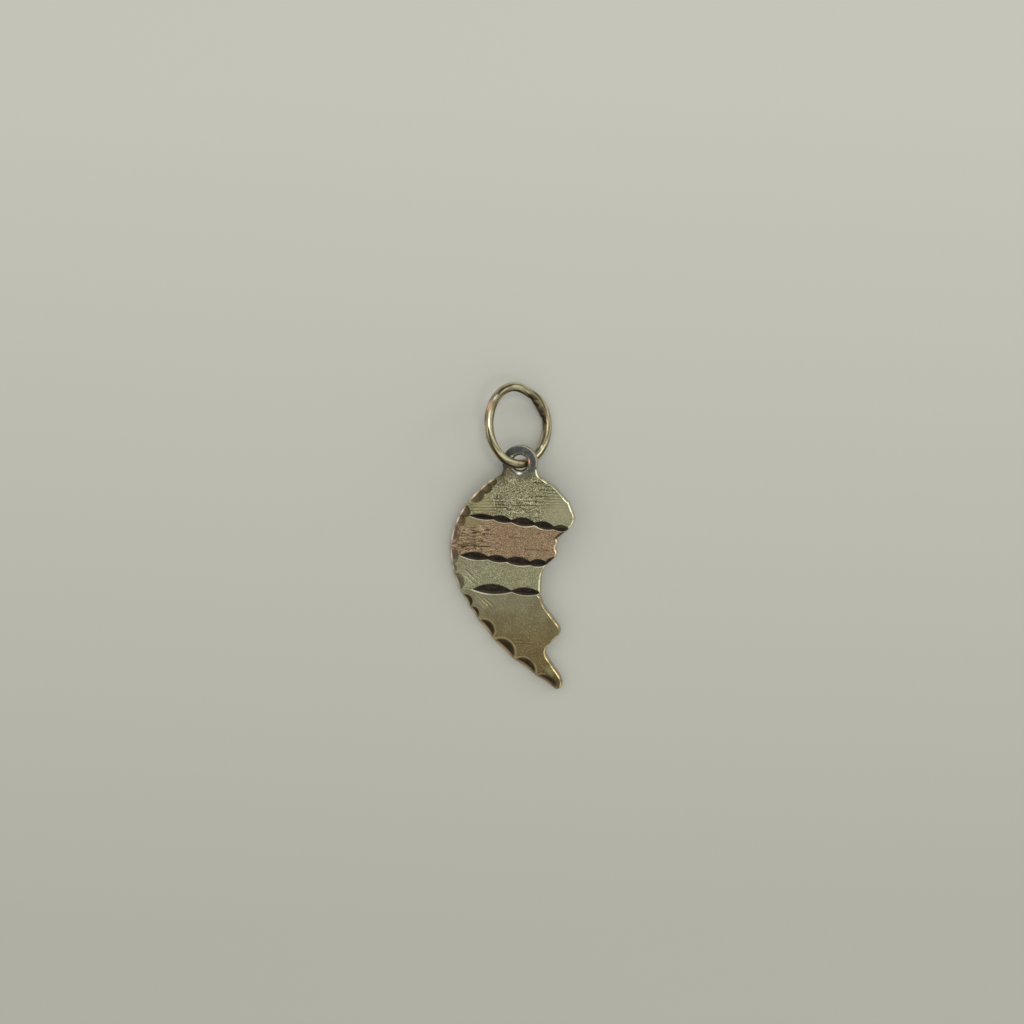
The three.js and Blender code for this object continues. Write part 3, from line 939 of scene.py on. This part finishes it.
lower_strokes = [(-5.0, -9.5, -3.9, -10.6, 0.5), (-4.4, -9.6, -3.5, -10.5, 0.4)]
lower_glints = [
    (-5.1, -9.6, -3.6, -10.95, 0.45), (-4.7, -9.5, -3.4, -10.6, 0.3),
    (-5.0, -10.1, -4.1, -11.1, 0.5), (-4.3, -9.5, -3.4, -10.3, 0.25),
]


def satin_grain(u, v):
    """Rubbed satin, with faint marks."""
    return 0.12 * unevenness(u, v, 3.2, 25) + 0.5 * unevenness(u, v, 17, 26)


yellow_strokes = [
    (-3.7, -12.0, -2.5, -13.3, 0.6), (-3.4, -11.9, -2.3, -13.0, 0.5),
    (-0.6, -15.95, 1.2, -15.98, 0.5), (-0.9, -16.2, 1.4, -16.22, 0.6),
]
yellow_glints = [
    (-4.1, -11.75, -2.9, -12.95, 0.8), (-3.85, -11.7, -2.6, -12.8, 0.55),
    (-4.2, -11.95, -3.2, -13.1, 0.6), (-3.5, -11.75, -2.4, -12.5, 0.3),
]


def gold_finish(name, tones, cloud, scoop, edges, roughness, grit, long_way=(), spots=()):
    """Worn gold: pits and high points, brown scoops, nearly black cuts, painted edge highlights.

    tones are the colours of the pits, the body and the high points, scoop those of a scoop's
    light and dark parts, and edges those of the rim and of the lips below the cuts, both painted
    highlights. A cloud has a colour and a share, and long_way holds the body's colours from the
    point upwards. A spot has its place, width, stretch and colour.
    """
    gold = Finish(name)
    speckle = gold.noise(gold.on_plate(), 14.0, 2, 0.7)
    clouds = gold.noise(gold.on_plate(), 0.6, 4, 0.55)
    patches = gold.noise(gold.on_plate(), 2.2, 4, 0.6)
    speckle = gold.math("MULTIPLY", gold.math("SUBTRACT", speckle, 0.5), grit)
    high = gold.math("ADD", "grain", speckle)
    pit, body, bright = [seen(*tone) for tone in tones]
    deep = [0.35 * part for part in pit[:3]]
    shiny = [min(1.5 * part, 1) for part in bright[:3]]
    colour = gold.ramp(
        high, (0.0, *deep, 1), (0.22, *pit), (0.5, *body), (0.82, *bright), (1.0, *shiny, 1))
    if long_way:
        down = gold.ramp(gold.ranged(gold.across_plate(1), -20.0, -11.5), *long_way)
        colour = gold.mixed(0.8, colour, down)
        colour = gold.over(colour, bright, high, 0.5, 0.9, 0.4)
        colour = gold.over(colour, pit, high, 0.5, 0.15, 0.35)
    colour = gold.over(colour, cloud[0], clouds, 0.42, 0.7, cloud[1])
    below_eye = gold.ranged(gold.across_plate(1), -0.4, -1.1)
    eye_tone = gold.mixed(below_eye, (72, 74, 74), (100, 97, 80))
    colour = gold.over(colour, eye_tone, "fade", 0, 1, 0.8)
    for u, v, width, stretch, *tone in spots:
        away = gold.distance(gold.on_plate((1, stretch, 1)), (u, v * stretch, 0))
        near = gold.math("MULTIPLY", gold.ranged(away, width, 0), gold.ranged(patches, 0.2, 0.5))
        colour = gold.mixed(near, colour, tone)
    brown = gold.mixed(gold.ranged(patches, 0.36, 0.62), scoop[1], scoop[0])
    # Ridges, lips and the rim are coloured lighter as painted highlights
    for tone, mark, start, full, most in (
        (brown, "scoop", 0.1, 0.9, 0.95), (scoop[1], "core", 0, 1, 0.7),
        (bright, "ridge_highlight", 0.1, 1, 0.5), (edges[1], "lip", 0.1, 0.9, 0.9),
        (edges[0], "rim", 0.1, 0.85, 0.95),
    ):
        colour = gold.over(colour, tone, mark, start, full, most)
    colour = gold.mixed("ledge", colour, ledge_tones(gold))
    # The cuts are near-black patina; their lower walls, and the last cut of the first row, are
    # painted lighter olive as lit, and the painted shade under the notch joins them
    black = gold.mixed(gold.ranged(patches, 0.4, 0.65), (34, 29, 24), (60, 49, 40))
    colour = gold.mixed("cut", colour, gold.over(black, (80, 74, 57), "lit", 0, 1, 0.6))
    rough = gold.ranged(high, 0.2, 0.8, roughness + 0.08, roughness - 0.1)
    worn_edge = gold.math("MAXIMUM", "rim", "lip")
    for mark, there in (("scoop", 0.5), (worn_edge, 0.25), ("ledge", 0.5), ("cut", 0.7)):
        rough = gold.blended(mark, rough, there)
    metal = 1.0
    for mark, there in (("scoop", 0.5), ("ledge", 0.4), ("cut", 0.25)):
        metal = gold.blended(mark, metal, there)
    relief = gold.bump(gold.noise(gold.on_plate(), 16, 2, 0.5), 0.6, 0.012)
    relief = gold.bump(gold.noise(gold.on_plate((2.5, 22, 1)), 1, 2), 0.12, 0.02, relief)
    gold.surface(
        Base_Color=colour, Roughness=rough, Metallic=metal, Normal=relief, Specular_IOR_Level=0.25)
    return gold.material


# From the eye to the point: each panel's sheet, node, slot and finish, then its spacing,
# engraving, depth, strokes and glints, and what else its sheet needs
panels = (
    ("upper_green_gold_sheet", "upper_green_gold_panel", "green_gold_top", gold_finish(
        "engraved_green_gold", tones=((76, 71, 50), (117, 114, 87), (174, 171, 141)),
        cloud=((110, 102, 80), 0.15), scoop=((124, 113, 83), (86, 74, 53)),
        edges=((250, 247, 215), (205, 200, 170)), roughness=0.46, grit=2.4,
        spots=((3.7, -4.0, 2.8, 1, 142, 139, 112), (-3.4, -3.7, 1.8, 1, 144, 137, 102),
               # The dark spot left of the neck is painted shade of the ring, over dark tarnish
               (-1.5, -1.0, 1.3, 1, 76, 66, 47))),
     (0.026, pitted, 0.0045, upper_strokes, upper_glints), {"fine_top": False, "soft": 1}),
    ("rose_gold_sheet", "rose_gold_panel", "rose_gold", gold_finish(
        "engraved_rose_gold", tones=((80, 64, 48), (128, 108, 84), (180, 155, 126)),
        cloud=((122, 110, 84), 0.4), scoop=((190, 160, 138), (112, 88, 74)),
        edges=((236, 220, 182), (214, 198, 174)), roughness=0.46, grit=1.9,
        spots=((-4.6, -5.1, 2.9, 2.2, 128, 118, 88),)),
     (0.026, rose_grain, 0.0035, rose_strokes, rose_glints), {}),
    ("lower_green_gold_sheet", "lower_green_gold_panel", "green_gold_low", gold_finish(
        "matted_green_gold", tones=((92, 89, 66), (128, 126, 99), (172, 171, 142)),
        cloud=((124, 118, 88), 0.4), scoop=((148, 142, 116), (108, 101, 82)),
        edges=((246, 240, 196), (196, 190, 164)), roughness=0.45, grit=1.8),
     (0.026, fine_grain, 0.0025, lower_strokes, lower_glints), {}),
    ("yellow_gold_sheet", "yellow_gold_panel", "yellow_gold", gold_finish(
        "rubbed_yellow_gold", tones=((76, 65, 43), (108, 97, 68), (166, 152, 112)),
        cloud=((88, 72, 48), 0.3), scoop=((74, 58, 38), (50, 38, 25)),
        edges=((232, 214, 164), (196, 194, 168)), roughness=0.42, grit=1.6,
        long_way=((0.0, 90, 77, 47), (0.25, 98, 84, 57), (0.5, 104, 92, 64),
                  (0.75, 109, 103, 78), (1.0, 118, 117, 96)),
        # The lighter spot near the point is a painted highlight, the two dark ones tarnish
        spots=((2.6, -18.6, 0.7, 1, 124, 120, 84), (2.0, -19.2, 0.8, 1, 56, 52, 34),
               (2.9, -19.7, 0.85, 1, 60, 56, 37))),
     (0.036, satin_grain, 0.002, yellow_strokes, yellow_glints),
     {"fine_low": False, "last_row": 0.9988, "rim_width": 0.13}),
)
limits = [level(neck_top), *seam_lines, level(left_line[-1][1])]
for upper, lower, (sheet, node, slot, finish, making, rest) in zip(limits, limits[1:], panels):
    panel = build_panel(sheet, upper, lower, *making, **rest)
    panel.data.materials.append(finish)
    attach(panel, "half_heart")
    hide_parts(node)

# The jump ring
# One bend of round green-gold wire, pulled a little oval and flattened by pliers beside its
# soldered ends. It hangs loose in the eye and lies here tilted, its right side on the table.

wire_radius = 0.4
ring_radius = 3.46
ovality, oval_angle = 0.066, 51
flat_depth, flat_angle, flat_spread = 0.33, 63, 30
joint_angle, joint_gap = 22, 0.04
ring_lean, ring_tilt = 2.74, 41.3
below_hole = 0.1
wire_unevenness = 0.05
ring_turn = Matrix.Rotation(math.radians(ring_lean), 4, "Z")
ring_turn = ring_turn @ Matrix.Rotation(math.radians(ring_tilt), 4, "Y")
ring_place = Matrix.Translation(Vector(hole_centre) - Vector((0, below_hole, 0))) @ ring_turn

# The rule that bends a straight wire into the ring. Its sizes are the modifier's own inputs.
ring_tree = bpy.data.node_groups.new("bent_wire_ring", "GeometryNodeTree")
ring_sizes = {
    "Ring radius": ring_radius, "Ovality": ovality, "Oval angle": math.radians(oval_angle),
    "Flat depth": flat_depth, "Flat angle": math.radians(flat_angle),
    "Flat spread": math.radians(flat_spread), "Joint angle": math.radians(joint_angle),
    "Joint gap": joint_gap, "Wire radius": wire_radius, "Unevenness": wire_unevenness,
}
for name in ring_sizes:
    ring_tree.interface.new_socket(name, in_out="INPUT", socket_type="NodeSocketFloat")
ring_tree.interface.new_socket("Metal", in_out="INPUT", socket_type="NodeSocketMaterial")
ring_tree.interface.new_socket("Geometry", in_out="OUTPUT", socket_type="NodeSocketGeometry")
ring = Nodes(ring_tree)
size = ring_tree.nodes.new("NodeGroupInput").outputs
straight = ring.add("GeometryNodeCurvePrimitiveLine", 0, {"Start": (0, 0, 0), "End": (1, 0, 0)})
straight = ring.add("GeometryNodeResampleCurve", 0, {"Curve": straight, "Count": 320})
share = ring.add("SeparateXYZ", 0, {0: ring.add("GeometryNodeInputPosition")})
half_gap = ring.math("DIVIDE", ring.math("DIVIDE", size["Joint gap"], 2.0), size["Ring radius"])
sweep = ring.math("SUBTRACT", 2 * math.pi, ring.math("MULTIPLY", half_gap, 2.0))
angle = ring.math("ADD", size["Joint angle"], half_gap)
angle = ring.math("ADD", angle, ring.math("MULTIPLY", sweep, share))
past = ring.math("GREATER_THAN", angle, ring.math("ADD", size["Flat angle"], math.pi))
angle = ring.math("SUBTRACT", angle, ring.math("MULTIPLY", past, 2 * math.pi))
oval = ring.math("MULTIPLY", ring.math("SUBTRACT", angle, size["Oval angle"]), 2.0)
oval = ring.math("MULTIPLY", ring.math("COSINE", oval), size["Ovality"])
flat_part = ring.math("SUBTRACT", angle, size["Flat angle"])
flat_part = ring.math("POWER", ring.math("DIVIDE", flat_part, size["Flat spread"]), 2.0)
flat_part = ring.math("EXPONENT", ring.math("MULTIPLY", flat_part, -1.0))
flat_part = ring.math("MULTIPLY", flat_part, size["Flat depth"])
reach = ring.math("SUBTRACT", ring.math("ADD", size["Ring radius"], oval), flat_part)
ring_x = ring.math("MULTIPLY", reach, ring.math("COSINE", angle))
ring_y = ring.math("MULTIPLY", reach, ring.math("SINE", angle))
ring_y = ring.math("ADD", ring_y, size["Ring radius"])
place = ring.add("CombineXYZ", 0, {0: ring_x, 1: ring_y})
bent = ring.add("GeometryNodeSetPosition", 0, {"Geometry": straight, "Position": place})
swell = ring.math("SUBTRACT", ring.noise(place, 0.9, 1.0), 0.5)
swell = ring.math("ADD", ring.math("MULTIPLY", swell, size["Unevenness"]), 1.0)
bent = ring.add("GeometryNodeSetCurveRadius", 0, {"Curve": bent, "Radius": swell})
section = {"Resolution": 48, "Radius": size["Wire radius"]}
section = ring.add("GeometryNodeCurvePrimitiveCircle", 0, section)
drawn = {"Curve": bent, "Profile Curve": section, "Fill Caps": True}
drawn = ring.add("GeometryNodeCurveToMesh", 0, drawn)
drawn = ring.add("GeometryNodeSetShadeSmooth", 0, {"Geometry": drawn})
drawn = ring.add("GeometryNodeRealizeInstances", 0, {"Geometry": drawn})
drawn = ring.add("GeometryNodeSetMaterial", 0, {"Geometry": drawn, "Material": size["Metal"]})
ring.put(ring_tree.nodes.new("NodeGroupOutput").inputs["Geometry"], drawn)

wire = Finish("drawn_wire_gold")
cloud = wire.noise(wire.in_mm(), 1.1, 4, 0.6)
speck = wire.noise(wire.in_mm(), 8, 3, 0.6)
wire_tone = wire.mixed(wire.ranged(cloud, 0.3, 0.7), (146, 138, 105), (174, 166, 132))
wire_tone = wire.over(wire_tone, (100, 86, 62), speck, 0.5, 0.72, 0.6)
# Lengthwise draw marks, their dark and pale streaks painted as reflections of the room
wire_tone = wire.over(wire_tone, (84, 72, 52), "drawn", 0.5, 0.3, 0.8)
wire_tone = wire.over(wire_tone, (214, 208, 176), "drawn", 0.54, 0.7, 0.75)
# Pale lines painted as highlights, some where the wire is rubbed
wire_tone = wire.mixed("rub_and_highlight", wire_tone, (222, 215, 178))
wire_tone = wire.mixed("brassy", wire_tone, (188, 166, 92))
wire_tone = wire.mixed("copper", wire_tone, (250, 196, 168))
# Tarnish at the joint, with dark lines down the arms painted as shade and dark reflections
stain_and_shade_tone = wire.mixed(wire.ranged(cloud, 0.35, 0.65), (42, 32, 24), (84, 64, 44))
wire_tone = wire.over(wire_tone, stain_and_shade_tone, "stain_and_shade", 0, 1, 0.95)
# Gleams: painted highlights
wire_tone = wire.mixed("gleam", wire_tone, (255, 252, 228))
wire_rough = wire.blended("stain_and_shade", wire.ranged(speck, 0.3, 0.75, 0.24, 0.44), 0.48)
wire_relief = wire.bump(wire.noise(wire.in_mm(), 3.5, 3), 0.35, 0.03)
wire_relief = wire.bump(wire.noise(wire.in_mm(), 18, 2), 0.3, 0.008, wire_relief)
wire.surface(
    Base_Color=wire_tone, Roughness=wire_rough, Normal=wire_relief,
    Metallic=wire.blended("copper", 1.0, 0.35))

wire_base = placed("wire_base", bpy.data.meshes.new("wire_base"))
wire_modifier = wire_base.modifiers.new("wire", "NODES")
wire_modifier.node_group = ring_tree
for socket in ring_tree.interface.items_tree:
    if socket.in_out == "INPUT":
        wire_modifier[socket.identifier] = ring_sizes.get(socket.name, wire.material)
ready = bpy.context.evaluated_depsgraph_get()
wire_mesh = bpy.data.meshes.new_from_object(wire_base.evaluated_get(ready))
bpy.data.objects.remove(wire_base)

wire_points = np.zeros(len(wire_mesh.vertices) * 3, np.float32)
wire_mesh.vertices.foreach_get("co", wire_points)
wire_points = wire_points.reshape(-1, 3)
from_middle = wire_points[:, :2] - [0, ring_radius]
turned_to = np.degrees(np.arctan2(from_middle[:, 1], from_middle[:, 0]))


def turned_from(middle, angle):
    """Degrees from a middle angle, from -180 to 180."""
    return (angle - middle + 180) % 360 - 180


def wire_centre(angle):
    """How far the wire's centre line is from the ring's middle."""
    oval = ovality * np.cos(2 * np.radians(angle - oval_angle))
    return ring_radius + oval - flat_depth * np.exp(
        -((turned_from(flat_angle, angle) / flat_spread) ** 2))


outwards = np.hypot(*from_middle.T) - wire_centre(turned_to)
round_wire = np.degrees(np.arctan2(wire_points[:, 2], outwards)) % 360


def stretch_of_ring(at, start, end, soft):
    """1 along a stretch of the ring, fading to 0 beyond its ends."""
    away = np.abs(turned_from((start + end) / 2, at))
    return 1 - step_up(away, (end - start) / 2 - soft, (end - start) / 2 + soft)


def band_of_wire(around, middle, spread):
    """1 on a line along the wire, fading to 0 on both sides of it."""
    return np.exp(-np.abs(turned_from(middle, around) / spread) ** 2.5)


def off_facing(at, around):
    """Degrees around the wire from the line that faces up at rest, inwards above zero."""
    return turned_from(ring_tilt * np.cos(np.radians(at)), around - 90)


def joint_stain(at, across):
    """Dark flux and heat marks beside the joint, a wedge on the inner side of the ring."""
    middle = np.interp(at, [-4, 6, 13, 22, 32], [11, 27, 42, 74, 84])
    spread = np.interp(at, [-4, 6, 13, 22, 30, 48, 68, 110], [10, 28, 54, 96, 90, 70, 50, 34])
    return stretch_of_ring(at, -4, 114, 8) * band_of_wire(across, middle, spread)


# Marks along the wire: where each starts and ends round the ring, its line and half width in
# degrees round the wire, and its strength. Tarnish sits inside the joint. The dark lines down
# both arms are painted shade and dark reflections, the pale and gleaming ones painted highlights.
across_wire = off_facing(turned_to, round_wire)
painted_dark_lines = (
    (-46, 4, 15, 8, 0.85), (118, 225, 42, 20, 0.25), (-50, 4, -30, 12, 0.5),
    (70, 130, -12, 7, 0.45), (146, 186, -25, 8, 0.4),
)
painted_light_lines = (
    (222, 262, 22, 40, 0.4), (176, 262, -62, 22, 0.7), (-30, 10, -8, 7, 0.3),
    (-46, -8, 62, 24, 0.5), (-34, 12, -46, 10, 0.6), (62, 132, -42, 14, 0.6),
    (66, 128, 14, 9, 0.6), (262, 300, 10, 22, 0.4),
)
copper_lines = ((147, 161, -39, 22, 1.0), (-38, -14, 58, 22, 0.4))
brassy_lines = ((256, 294, -48, 26, 0.6),)
gleam_lines = ((135, 145, -13, 15, 1.0), (160, 182, 1, 7, 0.6), (-44, -37, 12, 14, 1.0))


def marks(lines):
    """The strongest of some marks at each point of the wire."""
    most = np.zeros(turned_to.shape)
    for start, end, middle, spread, strength in lines:
        line = stretch_of_ring(turned_to, start, end, min(6, (end - start) / 3))
        line = strength * line * band_of_wire(across_wire, middle, spread)
        most = np.maximum(most, line)
    return most


# Painted shade and dark reflection on the far arm: a line that sinks to the wire's outer side
# on its way down
full_turn = turned_to % 360
sinking = np.interp(full_turn, [180, 210, 235, 270], [0, -7, -33, -58])
arm_width = np.interp(full_turn, [180, 200, 240, 276], [9, 16, 26, 26])
arm_shade_line = 0.95 * stretch_of_ring(turned_to, 182, 284, 7)
arm_shade_line *= band_of_wire(across_wire, sinking - 6, arm_width)
stain_and_shade = np.maximum.reduce([joint_stain(turned_to, across_wire), marks(painted_dark_lines), arm_shade_line])
side, along = np.radians(across_wire), np.radians(turned_to)


def round_and_along(round_share, along_share, per_mm, seed):
    """Unevenness that meets itself both round the wire and round the ring."""
    return unevenness(
        round_share * np.cos(side) + along_share * np.cos(along),
        round_share * np.sin(side) + along_share * np.sin(along), per_mm, seed)


patchy = 1 + 0.9 * round_and_along(1.5, 6.4, 1.0, 52)
wire_values = {
    "stain_and_shade": np.clip(stain_and_shade, 0, 1), "drawn": 0.5 + 0.5 * round_and_along(0.9, 0.8, 3.2, 51),
    "copper": marks(copper_lines), "rub_and_highlight": np.clip(marks(painted_light_lines) * patchy, 0, 1),
    "brassy": marks(brassy_lines), "gleam": marks(gleam_lines),
}
for name, numbers in wire_values.items():
    layer = wire_mesh.attributes.new(name, "FLOAT", "POINT")
    layer.data.foreach_set("value", numbers.astype(np.float32))
wire_mesh.transform(Matrix.Scale(0.001, 4) @ ring_place)
jump_ring = placed("jump_ring_wire", wire_mesh)
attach(jump_ring, "ring")
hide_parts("jump_ring")

# The solder
# A lump of darkened solder on the inside of the ring, where the wire's two ends meet. It ran
# along the flattened stretch and thins out there.

solder_bm = bmesh.new()
dark_layer = solder_bm.verts.layers.float.new("dark")
solder_rings = []
lump_start, lump_middle, lump_end = joint_angle - 11, joint_angle + 8, joint_angle + 36
lump_steps, lump_sides = 52, 28
film_thickness, lump_bulge, lump_shift, lump_flatness = 0.3, 0.15, 0.17, 0.78
for angle in np.linspace(lump_start, lump_end, lump_steps):
    late = angle > lump_middle
    share = (angle - lump_middle) / (lump_end - lump_middle if late else lump_middle - lump_start)
    bulge = 1 - share**1.4 if late else math.sqrt(max(1 - abs(share) ** 2.4, 0))
    centre = float(wire_centre(angle)) - 0.05 - lump_shift * bulge
    thick = film_thickness + lump_bulge * bulge
    out = Vector((math.cos(math.radians(angle)), math.sin(math.radians(angle)), 0))
    ring_of_verts = []
    for k in range(lump_sides):
        turn = 2 * math.pi * k / lump_sides
        wobble = 1 + 0.035 * math.sin(3.1 * turn + 0.21 * angle)
        wobble += 0.03 * math.sin(0.45 * angle + 1)
        spot = out * (centre + thick * wobble * math.cos(turn))
        spot += Vector((0, ring_radius, lump_flatness * thick * wobble * math.sin(turn)))
        vert = solder_bm.verts.new(spot)
        vert[dark_layer] = float(joint_stain(angle, off_facing(angle, math.degrees(turn))))
        ring_of_verts.append(vert)
    solder_rings.append(ring_of_verts)
for one, two in zip(solder_rings, solder_rings[1:]):
    for k in range(lump_sides):
        n = (k + 1) % lump_sides
        solder_bm.faces.new((one[k], one[n], two[n], two[k]))
solder_bm.faces.new(solder_rings[0][::-1])
solder_bm.faces.new(solder_rings[-1])
bmesh.ops.recalc_face_normals(solder_bm, faces=solder_bm.faces)
solder_mesh = bpy.data.meshes.new("solder_lump")
solder_bm.to_mesh(solder_mesh)
solder_bm.free()
solder_mesh.transform(Matrix.Scale(0.001, 4) @ ring_place)
solder_mesh.shade_smooth()
solder = placed("solder_lump", solder_mesh)

tarnish = Finish("darkened_solder")
crust = tarnish.noise(tarnish.in_mm(), 3.2, 4, 0.6)
grit = tarnish.noise(tarnish.in_mm(), 12, 3, 0.6)
solder_tone = tarnish.mixed(tarnish.ranged(crust, 0.35, 0.65), (44, 34, 26), (84, 66, 48))
solder_tone = tarnish.over(solder_tone, (128, 112, 80), grit, 0.6, 0.8, 0.4)
solder_tone = tarnish.mixed(tarnish.ranged("dark", 0.05, 0.6), (128, 117, 86), solder_tone)
tarnish.surface(
    Base_Color=solder_tone, Metallic=tarnish.ranged("dark", 0.1, 0.8, 1.0, 0.6),
    Roughness=tarnish.ranged(grit, 0.3, 0.7, 0.36, 0.56),
    Normal=tarnish.bump(grit, 0.5, 0.02, tarnish.bump(crust, 0.5, 0.04)))
solder_mesh.materials.append(tarnish.material)
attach(solder, "ring")
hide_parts("jump_ring_solder")
